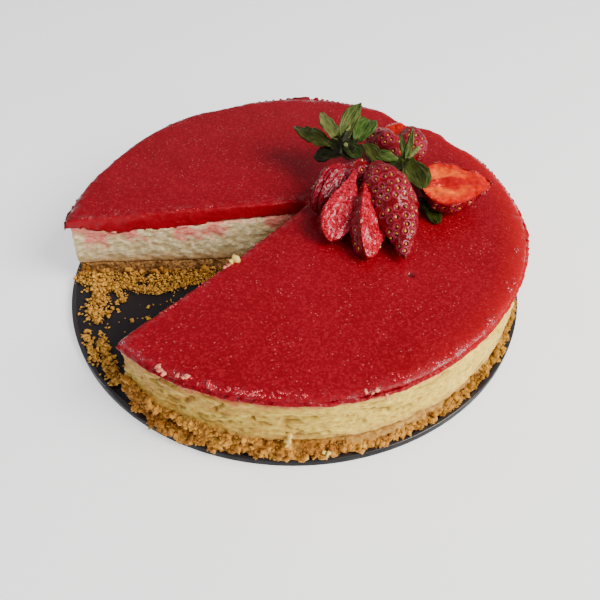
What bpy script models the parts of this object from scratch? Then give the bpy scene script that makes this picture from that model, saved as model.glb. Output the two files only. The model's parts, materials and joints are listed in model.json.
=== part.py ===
"""Strawberry cheesecake on the round base of its springform tin, with one slice taken out.

Units are metres and +Z is up. The origin is on the table, under the middle of the tin base.
-Y is the front. The missing slice opens towards -X and -Y.

The pieces, from the bottom up:
    tin_base      pressed steel disc with a rounded rim
    crust         crumb base
    cheese        baked cheese layer, dished in the middle
    topping       set strawberry puree, thicker where the cheese is dished
    fan_berry     whole strawberry cut into slices that still join at the stem, spread as a fan
    fan_calyx     its green star of sepals
    back_berry    second strawberry, split in two slices that join at the stem
    back_calyx    its sepals, with a stub of stalk
    half_berry    half a strawberry, cut face up
    low_leaf      sepal that lies on the topping beside the half strawberry
"""

import math

import bmesh
import bpy
from mathutils import Matrix, Vector, noise

MM = 0.001

# Driving dimensions
TIN_RADIUS = 120 * MM
TIN_RIM_TOP = 3.9 * MM
TIN_FLOOR_TOP = 3.2 * MM
TIN_SHEET = 1.0 * MM
TIN_RING_WIDTH = 1.2 * MM
CAKE_TOP = 42.3 * MM
CRUST_TOP = 11.2 * MM
CRUST_LIP = 1.5 * MM
CRUST_FOOT_RADIUS = 116.4 * MM
CRUST_TOP_RADIUS = 115.3 * MM
CHEESE_FOOT_RADIUS = 115.6 * MM
CHEESE_TOP_RADIUS = 114.2 * MM
CHEESE_MIDDLE_TOP = 33.0 * MM
CHEESE_EDGE_TOP = 38.2 * MM
TOPPING_RADIUS = 115.8 * MM
LAYER_GAP = 0.4 * MM
CRUST_WAVE = 0.7 * MM
CHEESE_WAVE = 0.9 * MM
REST_HEIGHT = CAKE_TOP + 0.6 * MM

# Rings that both faces of a joint between two layers share
MIDDLE_RING = 60 * MM
SLOPE_RINGS = (92 * MM, 103 * MM)
RIM_RING = 112.6 * MM
INSIDE_RIM_RING = RIM_RING + 0.2 * MM
DENT_START = 80 * MM

# The slice that is gone: its point, and the directions of its two cuts, counted from +X
SLICE_POINT = Vector((9, 11)) * MM
FAR_CUT = math.radians(188.0)
NEAR_CUT = math.radians(229.3)
NEAR_CUT_BOW = 2.0 * MM
CUT_REACH = 150 * MM
CUT_STEPS = 12
CUTTER_FOOT = -10 * MM
CUTTER_HEIGHT = 80 * MM

# Fineness
TIN_STEPS = 80
LAYER_STEPS = 96
BERRY_SIDES = 18
BERRY_RINGS = 10

# Dents (negative) and bulges of the topping's rim: direction in degrees, half width in degrees, depth
RIM_SHAPE = (
    (53, 7, -8.6),
    (35, 5, -5.0),
    (87, 9, 3.6),
    (113, 7, -3.4),
    (152, 16, -3.8),
    (186, 9, 2.2),
    (228, 9, -1.0),
    (284, 26, 1.8),
    (352, 14, 1.8),
)


def clear_scene():
    for old in list(bpy.data.objects):
        bpy.data.objects.remove(old, do_unlink=True)


def new_collection(name):
    made = bpy.data.collections.new(name)
    bpy.context.scene.collection.children.link(made)
    return made


def material(name, colour, roughness, metallic=0.0):
    made = bpy.data.materials.new(name)
    made.use_nodes = True
    shader = made.node_tree.nodes["Principled BSDF"]
    shader.inputs["Base Color"].default_value = (*colour, 1.0)
    shader.inputs["Roughness"].default_value = roughness
    shader.inputs["Metallic"].default_value = metallic
    made.diffuse_color = (*colour, 1.0)
    return made


def add_object(name, mesh, group):
    made = bpy.data.objects.new(name, mesh)
    group.objects.link(made)
    return made


def object_from(name, form, group):
    """Turns a finished bmesh into an object."""
    mesh = bpy.data.meshes.new(name)
    form.to_mesh(mesh)
    form.free()
    return add_object(name, mesh, group)


def point(x, y, z):
    """A place given in millimetres."""
    return Vector((x, y, z)) * MM


def evaluated_mesh(obj):
    """The object's mesh with its modifiers applied."""
    bpy.context.view_layer.update()
    graph = bpy.context.evaluated_depsgraph_get()
    return bpy.data.meshes.new_from_object(obj.evaluated_get(graph), depsgraph=graph)


def apply_modifiers(obj):
    """Swaps the object's mesh for the one its modifiers make."""
    mesh = evaluated_mesh(obj)
    obj.modifiers.clear()
    obj.data = mesh
    return obj


def smoothstep(low, high, value):
    t = min(1.0, max(0.0, (value - low) / (high - low)))
    return t * t * (3 - 2 * t)


def rough(x, y, z, size, seed):
    """Smooth noise from about -1 to 1, with lumps of the given size."""
    return noise.noise(Vector((x / size + seed, y / size - seed, z / size + 0.5 * seed)))


# ---------------------------------------------------------------- turned layers


def turned(name, profile, steps, group):
    """A solid turned about Z from a half outline that starts and ends on the axis."""
    outline = bmesh.new()
    dots = [outline.verts.new((radius, 0, height)) for radius, height in profile]
    for first, second in zip(dots, dots[1:]):
        outline.edges.new((first, second))
    made = object_from(name, outline, group)
    screw = made.modifiers.new("turn", "SCREW")
    screw.steps = steps
    screw.render_steps = steps
    screw.use_merge_vertices = True
    screw.merge_threshold = 0.00001
    return apply_modifiers(made)


def move_vertices(obj, rule):
    for vertex in obj.data.vertices:
        vertex.co = rule(vertex.co.copy())
    obj.data.update()


def push_out(spot, amount):
    """Moves a point away from the axis."""
    distance = math.hypot(spot.x, spot.y)
    if distance < 1e-6:
        return spot
    factor = 1 + amount / distance
    return Vector((spot.x * factor, spot.y * factor, spot.z))


def rim_offset(direction):
    """How far the topping's rim stands out of, or dips into, its circle."""
    degrees = math.degrees(direction) % 360
    total = 0.0
    for centre, width, depth in RIM_SHAPE:
        away = (degrees - centre + 180) % 360 - 180
        total += depth * MM * math.exp(-((away / width) ** 2))
    return total


def uneven(spot, bulge, lumps):
    """Gives a point of a layer the unevenness of its place.

    Every layer is squeezed alike where the rim is dented, so that the joints keep their gap. Only
    what lies outside the joints takes a share of the bulges, and lumps of its own."""
    radius = math.hypot(spot.x, spot.y)
    offset = rim_offset(math.atan2(spot.y, spot.x))
    amount = min(0, offset) * smoothstep(DENT_START, RIM_RING, radius)
    if radius > INSIDE_RIM_RING:
        amount += max(0, offset) * bulge + lumps
    return push_out(spot, amount)


def cheese_surface(radius):
    """Height of the joint between the cheese and the topping: low in the middle, high at the side."""
    rise = smoothstep(SLOPE_RINGS[0], RIM_RING, radius)
    return CHEESE_MIDDLE_TOP + (CHEESE_EDGE_TOP - CHEESE_MIDDLE_TOP) * rise


def crust_surface(radius):
    """Height of the joint between the crust and the cheese, which climbs a little at the side."""
    return CRUST_TOP + CRUST_LIP * smoothstep(SLOPE_RINGS[0], RIM_RING, radius)


def joint_profile(surface, raised):
    """The half outline of one face of a joint, from the axis outwards."""
    rings = (0, MIDDLE_RING, *SLOPE_RINGS, RIM_RING)
    return [(radius, surface(radius) + raised) for radius in rings]


def joint_wave(spot, depth):
    """Slow unevenness that both faces of a joint share."""
    return depth * rough(spot.x, spot.y, 0.0, 38 * MM, 3.0)


def make_tin_base(group):
    bottom = TIN_FLOOR_TOP - TIN_SHEET
    ring_inside = TIN_RADIUS - TIN_RING_WIDTH
    rim = TIN_RADIUS
    profile = (
        (0, TIN_FLOOR_TOP),
        (rim - 2.6 * MM, TIN_FLOOR_TOP),
        (rim - 1.9 * MM, TIN_RIM_TOP - 0.15 * MM),
        (rim - 1.3 * MM, TIN_RIM_TOP),
        (rim - 0.6 * MM, TIN_RIM_TOP - 0.2 * MM),
        (rim - 0.15 * MM, TIN_RIM_TOP - 0.7 * MM),
        (rim, TIN_RIM_TOP - 1.4 * MM),
        (rim, 0.3 * MM),
        (rim - 0.2 * MM, 0),
        (ring_inside, 0),
        (ring_inside - 0.2 * MM, bottom - 0.4 * MM),
        (ring_inside - 0.8 * MM, bottom),
        (0, bottom),
    )
    made = turned("tin_base", profile, TIN_STEPS, group)
    made.data.shade_smooth()
    made.data.set_sharp_from_angle(angle=math.radians(35))
    return made


def make_crust(group):
    floor = TIN_FLOOR_TOP + LAYER_GAP
    foot, shoulder = CRUST_FOOT_RADIUS, CRUST_TOP_RADIUS
    lip_top = CRUST_TOP + CRUST_LIP
    profile = (
        *joint_profile(crust_surface, 0),
        (shoulder - 0.9 * MM, lip_top - 0.4 * MM),
        (shoulder + 0.2 * MM, lip_top - 2.2 * MM),
        (shoulder + 0.5 * MM, lip_top - 4.8 * MM),
        (foot, floor + 2.0 * MM),
        (foot - 0.8 * MM, floor),
        (0, floor),
    )
    made = turned("crust", profile, LAYER_STEPS, group)

    def rule(spot):
        on_floor = spot.z < floor + 0.1 * MM
        on_joint = not on_floor and math.hypot(spot.x, spot.y) < INSIDE_RIM_RING
        crag = 0.8 * MM * rough(*spot, 5 * MM, 7.0) + 0.8 * MM * rough(*spot, 14 * MM, 8.0)
        spot = uneven(spot, 0, 0 if on_floor else crag)
        if on_joint:
            spot.z += joint_wave(spot, CRUST_WAVE)
        return spot

    move_vertices(made, rule)
    return made


def make_cheese(group):
    foot, shoulder = CHEESE_FOOT_RADIUS, CHEESE_TOP_RADIUS
    base_edge = CRUST_TOP + CRUST_LIP + LAYER_GAP
    profile = (
        *joint_profile(cheese_surface, 0),
        (shoulder - 0.4 * MM, CHEESE_EDGE_TOP - 0.5 * MM),
        (shoulder + 0.2 * MM, CHEESE_EDGE_TOP - 3 * MM),
        (shoulder + 0.5 * MM, CHEESE_EDGE_TOP - 10 * MM),
        (foot - 0.3 * MM, base_edge + 7 * MM),
        (foot, base_edge + 2 * MM),
        (foot - 0.8 * MM, base_edge + 0.2 * MM),
        *reversed(joint_profile(crust_surface, LAYER_GAP)),
    )
    made = turned("cheese", profile, LAYER_STEPS, group)

    def rule(spot):
        on_joint = math.hypot(spot.x, spot.y) < INSIDE_RIM_RING
        upper = spot.z > (CHEESE_MIDDLE_TOP + CRUST_TOP) / 2
        lump = 0.7 * MM * rough(*spot, 11 * MM, 12.0)
        spot = uneven(spot, 0.2, lump)
        if on_joint:
            spot.z += joint_wave(spot, CHEESE_WAVE if upper else CRUST_WAVE)
        return spot

    move_vertices(made, rule)
    return made


def make_topping(group):
    rim = TOPPING_RADIUS
    profile = (
        (0, CAKE_TOP),
        (DENT_START, CAKE_TOP),
        (RIM_RING, CAKE_TOP - 0.05 * MM),
        (rim - 1.2 * MM, CAKE_TOP - 0.15 * MM),
        (rim - 0.3 * MM, CAKE_TOP - 0.7 * MM),
        (rim, CAKE_TOP - 1.8 * MM),
        (rim - 0.6 * MM, CHEESE_EDGE_TOP + LAYER_GAP),
        *reversed(joint_profile(cheese_surface, LAYER_GAP)),
    )
    made = turned("topping", profile, LAYER_STEPS, group)

    def rule(spot):
        radius = math.hypot(spot.x, spot.y)
        upper = spot.z > CAKE_TOP - 2 * MM
        ripple = 0.35 * MM * rough(spot.x, spot.y, 0.0, 9 * MM, 21.0)
        spot = uneven(spot, 1, ripple)
        if upper:
            spot.z += 0.2 * MM * rough(spot.x, spot.y, 0.0, 33 * MM, 25.0)
        elif radius < INSIDE_RIM_RING:
            spot.z += joint_wave(spot, CHEESE_WAVE)
        return spot

    move_vertices(made, rule)
    made.data.shade_smooth()
    made.data.set_sharp_from_angle(angle=math.radians(50))
    return made


def make_slice_cutter(group):
    """Upright prism over the missing slice. Its near side bows away from it a little, as the knife went."""
    outline = bmesh.new()
    corners = [outline.verts.new((*SLICE_POINT, CUTTER_FOOT))]
    across = Vector((-math.sin(NEAR_CUT), math.cos(NEAR_CUT)))
    for step in range(1, CUT_STEPS + 1):
        share = step / CUT_STEPS
        spot = SLICE_POINT + Vector((math.cos(NEAR_CUT), math.sin(NEAR_CUT))) * CUT_REACH * share
        spot += across * NEAR_CUT_BOW * math.sin(math.pi * min(1.0, 1.3 * share))
        corners.append(outline.verts.new((*spot, CUTTER_FOOT)))
    for step in range(CUT_STEPS, 0, -1):
        reach = CUT_REACH * step / CUT_STEPS
        spot = SLICE_POINT + Vector((math.cos(FAR_CUT), math.sin(FAR_CUT))) * reach
        corners.append(outline.verts.new((*spot, CUTTER_FOOT)))
    face = outline.faces.new(corners)
    raised = bmesh.ops.extrude_face_region(outline, geom=[face])
    lifted = [item for item in raised["geom"] if isinstance(item, bmesh.types.BMVert)]
    bmesh.ops.translate(outline, verts=lifted, vec=(0, 0, CUTTER_HEIGHT))
    bmesh.ops.recalc_face_normals(outline, faces=outline.faces)
    cutter = object_from("slice_cutter", outline, group)
    cutter.hide_render = True
    cutter.display_type = "WIRE"
    return cutter


def cut_slice(layer, cutter):
    cut = layer.modifiers.new("slice", "BOOLEAN")
    cut.operation = "DIFFERENCE"
    cut.object = cutter
    return apply_modifiers(layer)


# ---------------------------------------------------------------- strawberries


def berry_girth(share, blunt):
    """Half width of a strawberry from stem (0) to tip (1), as a share of its widest; blunt is 0 to 1."""
    if not 0 < share < 1:
        return 0.0
    return math.sin(math.pi * share ** (0.62 + 0.18 * blunt)) ** (0.8 - 0.32 * blunt)


def berry_body(name, length, width, depth, blunt, group):
    """A whole strawberry that hangs down from the origin along -Z."""
    form = bmesh.new()
    bmesh.ops.create_uvsphere(form, u_segments=BERRY_SIDES, v_segments=BERRY_RINGS, radius=1)
    for vertex in form.verts:
        share = (1 - vertex.co.z) / 2
        girth = berry_girth(share, blunt)
        turn = math.atan2(vertex.co.y, vertex.co.x)
        vertex.co = (
            girth * width / 2 * math.cos(turn),
            girth * depth / 2 * math.sin(turn),
            -length * share,
        )
    return object_from(name, form, group)


def block(name, low, high, group):
    """A box between two opposite corners."""
    form = bmesh.new()
    bmesh.ops.create_cube(form, size=1)
    bmesh.ops.scale(form, verts=form.verts, vec=high - low)
    bmesh.ops.translate(form, verts=form.verts, vec=(low + high) / 2)
    return object_from(name, form, group)


def placing(stem, tip, facing):
    """Matrix that lays a strawberry from stem to tip, with its +Y side towards facing."""
    up = (stem - tip).normalized()
    front = (facing - up * facing.dot(up)).normalized()
    side = front.cross(up)
    turn = Matrix((side, front, up)).transposed()
    return Matrix.Translation(stem) @ turn.to_4x4()


def boolean(obj, operation, other):
    """Applies one Boolean with another object, which is then removed.

    The slices cross at shallow angles, which the manifold solver closes more surely than the exact."""
    step = obj.modifiers.new(operation.lower(), "BOOLEAN")
    step.operation = operation
    step.object = other
    step.solver = "MANIFOLD"
    apply_modifiers(obj)
    bpy.data.objects.remove(other)
    return obj


def join_all(name, parts, group):
    """One solid from overlapping ones, by a Boolean union on a collection."""
    heap = bpy.data.collections.new(name + "_parts")
    bpy.context.scene.collection.children.link(heap)
    first, rest = parts[0], parts[1:]
    for part in rest:
        group.objects.unlink(part)
        heap.objects.link(part)
    union = first.modifiers.new("union", "BOOLEAN")
    union.operation = "UNION"
    union.operand_type = "COLLECTION"
    union.collection = heap
    union.solver = "MANIFOLD"
    apply_modifiers(first)
    for part in rest:
        bpy.data.objects.remove(part)
    bpy.data.collections.remove(heap)
    first.name = name
    return first


def berry_slice(name, cut, group):
    """Part of a strawberry between two parallel cuts, laid from stem to tip and bowed by its bend."""
    stem, tip = point(*cut["stem"]), point(*cut["tip"])
    length = (tip - stem).length
    body = berry_body(name, length, cut["width"] * MM, cut["depth"] * MM, cut.get("blunt", 0), group)
    back, front = cut["between"]
    boolean(body, "INTERSECT", block(name + "_keep", point(-99, back, -99), point(99, front, 99), group))
    for vertex in body.data.vertices:
        share = -vertex.co.z / length
        vertex.co.y += 4 * cut.get("bend", 0) * MM * share * (1 - share)
    body.data.transform(placing(stem, tip, Vector(cut["facing"])))
    return body


def rest_on_topping(obj, group):
    """Flattens what reaches below the topping, so that the piece lies on it."""
    low, high = Vector((-TIN_RADIUS, -TIN_RADIUS, 0)), Vector((TIN_RADIUS, TIN_RADIUS, REST_HEIGHT))
    return boolean(obj, "DIFFERENCE", block(obj.name + "_rest", low, high, group))


# Slices in millimetres. Each lies from its stem end to its tip and faces the given way. between is
# where its two cuts are, counted from the strawberry's middle along that way. blunt rounds the tip,
# and bend bows the slice.
FAN_SLICES = (
    # the rounded outer cap on the right, skin side up
    dict(stem=(45.5, 17, 59), tip=(52.5, -39, 46.5), facing=(0.45, 0.0, 0.90), between=(-5, 16),
         width=30, depth=27, blunt=0.1),
    # the two tongues in front, cut face up
    dict(stem=(40, 16, 61), tip=(36, -36.5, 47.5), facing=(0.32, -0.35, 0.88), between=(-6, 1),
         width=26, depth=30, blunt=0.8, bend=3),
    dict(stem=(34, 15, 61), tip=(16.5, -26, 47), facing=(0.15, -0.40, 0.90), between=(-6, 0),
         width=25, depth=30, blunt=1.0, bend=4),
    # the thin slices that curl down on the left
    dict(stem=(31, 17, 60), tip=(13, -12, 47), facing=(0.45, -0.5, 0.75), between=(-4, 0),
         width=25, depth=30, blunt=0.9, bend=3),
    dict(stem=(29, 18, 59), tip=(9.5, -6, 47), facing=(0.60, -0.5, 0.60), between=(-4, 0),
         width=26, depth=30, blunt=0.9, bend=3),
)
# The uncut top of that strawberry, under its sepals
FAN_CROWN = dict(stem=(28, 27.5, 57.9), tip=(40, -2, 52), facing=(0, 0, 1), between=(-20, 20),
                 width=32, depth=23)

BACK_SLICES = (
    dict(stem=(57, 22.8, 58.0), tip=(48.5, 63, 52), facing=(0.55, -0.35, 0.75), between=(-14, 3),
         width=26, depth=26, blunt=0.4),
    dict(stem=(58, 22.8, 58.0), tip=(61.5, 60, 52), facing=(-0.45, -0.2, 0.85), between=(-14, 8),
         width=24, depth=26, blunt=0.4),
)
HALF_SLICE = dict(stem=(63.5, 9, 55), tip=(102.5, 16, 54.5), facing=(0, -0.06, 1), between=(-14, 0),
                  width=34, depth=25)


def make_fan_berry(group):
    parts = [berry_slice(f"fan_slice_{count}", cut, group) for count, cut in enumerate(FAN_SLICES)]
    parts.append(berry_slice("fan_crown", FAN_CROWN, group))
    return rest_on_topping(join_all("fan_berry", parts, group), group)


def make_back_berry(group):
    parts = [berry_slice(f"back_slice_{count}", cut, group) for count, cut in enumerate(BACK_SLICES)]
    return rest_on_topping(join_all("back_berry", parts, group), group)


def make_half_berry(group):
    return rest_on_topping(berry_slice("half_berry", HALF_SLICE, group), group)


# ---------------------------------------------------------------- leaves


def leaf(name, root, tip, up, width, group, arch=0.1, fold=0.18, blunt=0.0, thick=0.8 * MM):
    """A thin sepal from root to tip: pointed or blunt, arched along its length and folded at its rib."""
    along = tip - root
    length = along.length
    forward = along.normalized()
    normal = (up - forward * up.dot(forward)).normalized()
    side = normal.cross(forward)
    form = bmesh.new()
    bmesh.ops.create_grid(form, x_segments=6, y_segments=2, size=1)
    for vertex in form.verts:
        share = (vertex.co.x + 1) / 2
        across = vertex.co.y
        pointed = math.sin(math.pi * min(1.0, 0.12 + 0.88 * share**0.8)) ** 0.75
        rounded = math.sin(math.pi * min(1.0, 0.10 + 0.82 * share**1.5)) ** 0.6
        spread = (1 - blunt) * pointed + blunt * rounded
        half = max(0.08, spread) * width / 2
        lift = arch * length * math.sin(math.pi * share)
        wave = 0.03 * length * math.sin(2.3 * math.pi * share + 2 * across)
        crease = fold * width * abs(across) * spread
        vertex.co = (
            root
            + forward * length * share
            + side * across * half
            + normal * (lift + wave * abs(across) + crease)
        )
    bmesh.ops.triangulate(form, faces=form.faces)
    made = object_from(name, form, group)
    solid = made.modifiers.new("thickness", "SOLIDIFY")
    solid.thickness = thick
    solid.offset = 0
    return apply_modifiers(made)


def bead(name, centre, radius, flatten, group):
    form = bmesh.new()
    bmesh.ops.create_uvsphere(form, u_segments=10, v_segments=6, radius=radius)
    bmesh.ops.scale(form, verts=form.verts, vec=(1, 1, flatten))
    bmesh.ops.translate(form, verts=form.verts, vec=centre)
    return object_from(name, form, group)


# Sepals in millimetres: tip, the way the upper face looks, width, arch and bluntness
FAN_HUB = point(26.0, 26.5, 65)
FAN_SEPALS = (
    ((0.8, 49, 63), (0.1, -0.5, 0.9), 11.5, 0.10, 0.35),
    ((14.6, 52, 68.5), (0.4, -0.6, 0.8), 9.0, 0.08, 0.15),
    ((35, 53, 74.5), (-0.3, -0.7, 0.6), 10.0, 0.08, 0.1),
    ((31.0, 43, 70), (0, -0.7, 0.7), 4.5, 0.04, 0.0),
    ((42, 44.5, 68), (-0.3, -0.5, 0.8), 13.5, 0.06, 0.9),
    ((42.5, 9, 70.5), (0.1, -0.2, 1), 11.0, 0.14, 0.4),
    ((49.0, 13.5, 72.5), (0, -0.2, 1), 8.0, 0.10, 0.1),
    ((9.5, 33.5, 57), (-0.2, -0.2, 0.9), 9.5, 0.16, 0.4),
    ((18.5, 18.5, 66), (-0.3, -0.3, 0.9), 7.5, 0.14, 0.3),
)

BACK_HUB = point(57.2, 20.4, 60.6)
BACK_STALK_TOP = point(63.6, 24.0, 66)
BACK_SEPALS = (
    ((60.0, 29, 74.5), (0, -1, 0.3), 3.2, 0.05, 0.0),
    ((54.2, 29, 70), (0, -1, 0.4), 3.4, 0.05, 0.0),
    ((66.0, 2.8, 60.5), (0.15, -0.3, 0.9), 16.0, 0.14, 0.9),
    ((48.0, 5.0, 69.0), (-0.1, -0.2, 1), 9.0, 0.10, 0.5),
)


def stalk(name, foot, top, radius, group):
    """A short stub of stalk, a little wider where it was snapped off."""
    along = top - foot
    form = bmesh.new()
    bmesh.ops.create_cone(
        form, cap_ends=True, segments=10, radius1=radius, radius2=1.25 * radius, depth=along.length
    )
    turn = along.to_track_quat("Z", "Y").to_matrix().to_4x4()
    bmesh.ops.transform(form, verts=form.verts, matrix=Matrix.Translation((foot + top) / 2) @ turn)
    return object_from(name, form, group)


def make_calyx(name, hub, hub_radius, sepals, group, extra=()):
    """Sepals round a small hub, fused to one solid with any extra pieces."""
    parts = [bead(name + "_hub", hub, hub_radius, 0.6, group), *extra]
    for count, (tip, up, width, arch, blunt) in enumerate(sepals):
        size = width * MM
        parts.append(leaf(f"{name}_{count}", hub, point(*tip), Vector(up), size, group, arch, blunt=blunt))
    return join_all(name, parts, group)


def make_fan_calyx(group):
    return make_calyx("fan_calyx", FAN_HUB, 3.4 * MM, FAN_SEPALS, group)


def make_back_calyx(group):
    stub = stalk("back_stalk", BACK_HUB, BACK_STALK_TOP, 1.1 * MM, group)
    return make_calyx("back_calyx", BACK_HUB, 2.6 * MM, BACK_SEPALS, group, extra=(stub,))


def make_low_leaf(group):
    return leaf(
        "low_leaf", point(70.2, 1.8, 43.6), point(72.5, -9.4, 43.9), Vector((0, 0, 1)),
        9.5 * MM, group, arch=0.02, fold=0.05, blunt=0.5,
    )


def main():
    clear_scene()
    cake = new_collection("strawberry_cake")
    cutters = new_collection("cutters")
    cutter = make_slice_cutter(cutters)
    tin = make_tin_base(cake)
    crust = make_crust(cake)
    cheese = make_cheese(cake)
    topping = make_topping(cake)
    for layer in (crust, cheese, topping):
        cut_slice(layer, cutter)
    fan = make_fan_berry(cake)
    back = make_back_berry(cake)
    half = make_half_berry(cake)
    fan_calyx = make_fan_calyx(cake)
    back_calyx = make_back_calyx(cake)
    low_leaf = make_low_leaf(cake)
    looks = {
        material("tin_steel", (0.03, 0.032, 0.04), 0.45, 0.6): (tin,),
        material("crumb_crust", (0.50, 0.27, 0.08), 0.9): (crust,),
        material("baked_cheese", (0.83, 0.72, 0.45), 0.6): (cheese,),
        material("puree_gel", (0.42, 0.008, 0.012), 0.25): (topping,),
        material("berry_skin", (0.40, 0.01, 0.01), 0.25): (fan, back),
        material("berry_flesh", (0.85, 0.10, 0.03), 0.35): (half,),
        material("sepal_green", (0.05, 0.13, 0.02), 0.5): (fan_calyx, back_calyx, low_leaf),
    }
    for look, pieces in looks.items():
        for piece in pieces:
            piece.data.materials.clear()
            piece.data.materials.append(look)


main()
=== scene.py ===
# %% [markdown]
# # Strawberry cheesecake on its tin base
# The cake stands on the steel disc of a springform tin. From the bottom up it has a crumb crust, a
# baked cheese layer and a set strawberry gel, and one wide slice is gone, so every layer shows.
# A fan-cut strawberry, a second one behind it and half a strawberry lie on top.
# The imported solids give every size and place. This script gives each piece its surface.

import json
import math
import random
from contextlib import contextmanager

import bmesh
import bpy
import numpy as np
from mathutils import Matrix, Vector, kdtree, noise

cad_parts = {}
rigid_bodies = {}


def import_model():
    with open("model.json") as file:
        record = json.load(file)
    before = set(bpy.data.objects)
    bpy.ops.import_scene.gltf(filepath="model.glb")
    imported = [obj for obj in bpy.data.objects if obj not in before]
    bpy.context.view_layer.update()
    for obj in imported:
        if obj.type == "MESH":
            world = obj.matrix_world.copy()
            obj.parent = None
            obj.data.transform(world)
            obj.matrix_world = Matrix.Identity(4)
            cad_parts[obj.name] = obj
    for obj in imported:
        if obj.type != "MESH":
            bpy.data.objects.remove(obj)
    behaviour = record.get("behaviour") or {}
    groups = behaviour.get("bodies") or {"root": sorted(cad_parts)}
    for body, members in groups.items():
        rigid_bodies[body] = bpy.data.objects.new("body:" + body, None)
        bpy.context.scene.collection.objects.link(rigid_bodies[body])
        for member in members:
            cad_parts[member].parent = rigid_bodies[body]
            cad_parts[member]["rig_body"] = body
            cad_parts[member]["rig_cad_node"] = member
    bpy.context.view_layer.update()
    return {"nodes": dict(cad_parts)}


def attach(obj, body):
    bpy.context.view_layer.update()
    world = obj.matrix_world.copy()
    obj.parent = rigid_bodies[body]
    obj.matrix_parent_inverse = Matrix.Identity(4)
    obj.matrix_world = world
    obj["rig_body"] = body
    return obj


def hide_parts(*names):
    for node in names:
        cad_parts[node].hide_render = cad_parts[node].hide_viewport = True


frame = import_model()
MM = 0.001
print("nodes:", sorted(frame["nodes"]))

# %% [markdown]
# ## Camera
# The camera looks down on the cake at about 46 degrees, from close by, so that the near side shows
# larger than the far one. It comes first, because every later choice of detail is judged through it.

# %% Camera
CAMERA_PLACE = Vector((2.9, -264.8, 255.2)) * MM
CAMERA_TILT = math.radians(43.72)
LENS_MM, SENSOR_MM = 39.6, 36.0

bpy.ops.object.select_all(action="DESELECT")
bpy.ops.object.camera_add(location=CAMERA_PLACE, rotation=(CAMERA_TILT, 0, 0))
camera = bpy.context.object
camera.data.lens, camera.data.sensor_width = LENS_MM, SENSOR_MM
bpy.context.scene.camera = camera
print("camera", [round(c, 3) for c in camera.location])

# %% [markdown]
# ## Working by hand, in code
# Operators act on what is selected, so each step starts by picking one piece. Modifiers are applied
# at once, which leaves plain meshes whose points can then be moved like clay.


# %% Picking a piece, changing it and reading its points
def pick(piece):
    """Makes piece the only selected object, and the active one."""
    bpy.ops.object.select_all(action="DESELECT")
    piece.select_set(True)
    bpy.context.view_layer.objects.active = piece
    return piece


def add_mesh(operator, name, **settings):
    """A new piece from a primitive operator."""
    bpy.ops.object.select_all(action="DESELECT")
    operator(**settings)
    made = bpy.context.object
    made.name = made.data.name = name
    return made


def link_mesh(name, mesh):
    made = bpy.data.objects.new(name, mesh)
    bpy.context.scene.collection.objects.link(made)
    return made


def modify(piece, kind, **settings):
    """Adds one modifier and applies it."""
    pick(piece)
    modifier = piece.modifiers.new(kind.lower(), kind)
    for name, value in settings.items():
        setattr(modifier, name, value)
    bpy.ops.object.modifier_apply(modifier=modifier.name)
    return piece


@contextmanager
def edit_mode():
    bpy.ops.object.mode_set(mode="EDIT")
    yield
    bpy.ops.object.mode_set(mode="OBJECT")


def read(items, name, width=1, kind=np.float32):
    """A property of every point, face or corner, in rows of this width."""
    values = np.empty(width * len(items), kind)
    items.foreach_get(name, values)
    return values.reshape(-1, width) if width > 1 else values


def points_of(piece):
    """The places of a mesh's points, one row each, in metres."""
    return read(piece.data.vertices, "co", 3).astype(float)


def normals_of(piece):
    return read(piece.data.vertex_normals, "vector", 3).astype(float)


def put_points(piece, rows):
    piece.data.vertices.foreach_set("co", rows.astype(np.float32).ravel())
    piece.data.update()


def paint(piece, **layers):
    """Keeps named numbers, one or one for each point, which a material can read by their names."""
    for name, values in layers.items():
        every = np.broadcast_to(np.asarray(values, np.float32), len(piece.data.vertices))
        layer = piece.data.attributes.new(name, "FLOAT", "POINT")
        layer.data.foreach_set("value", np.ascontiguousarray(every))


def step(low, high, values):
    """0 up to low, 1 from high on, and a soft rise between them."""
    t = np.clip((np.asarray(values, float) - low) / (high - low), 0, 1)
    return t * t * (3 - 2 * t)


# %% [markdown]
# ## Two kinds of unevenness
# Lumps are smooth noise, for soft things such as gel. Clumps are round cells with creases between
# them, for crumbs and curds. Both take a size in millimetres, one number or one for each axis, and
# a seed that moves the pattern far away for another one.

# %% Lumps and clumps
SEED_SHIFT = 13.7


def scaled(rows, size, seed):
    return rows / (np.array(size, float) * MM) + SEED_SHIFT * seed


def lumps(rows, size, seed=0):
    return np.array([noise.noise(Vector(row)) for row in scaled(rows, size, seed)])


def clumps(rows, size, seed=0):
    """1 in the middle of a clump, 0 or less in the crease between two."""
    nearest = [noise.voronoi(Vector(row))[0][0] for row in scaled(rows, size, seed)]
    return 1 - 2 * np.array(nearest)


# %% [markdown]
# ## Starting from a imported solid
# The layers already have their true outline, so each starts as a copy of its solid. The copy comes
# as loose triangles, so its doubles are merged first. A voxel remesh then gives it an even skin,
# fine enough to carry crumbs and curds.


# %% Copy a solid, and settle a finished piece
def copy_solid(node, name, voxel):
    pick(frame["nodes"][node])
    bpy.ops.object.duplicate()
    piece = bpy.context.object
    piece.parent = None
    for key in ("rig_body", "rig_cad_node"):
        if key in piece:
            del piece[key]
    piece.name = piece.data.name = name
    piece.data.materials.clear()
    with edit_mode():
        bpy.ops.mesh.select_all(action="SELECT")
        bpy.ops.mesh.remove_doubles(threshold=0.01 * MM)
    return modify(piece, "REMESH", mode="VOXEL", voxel_size=voxel * MM)


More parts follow.
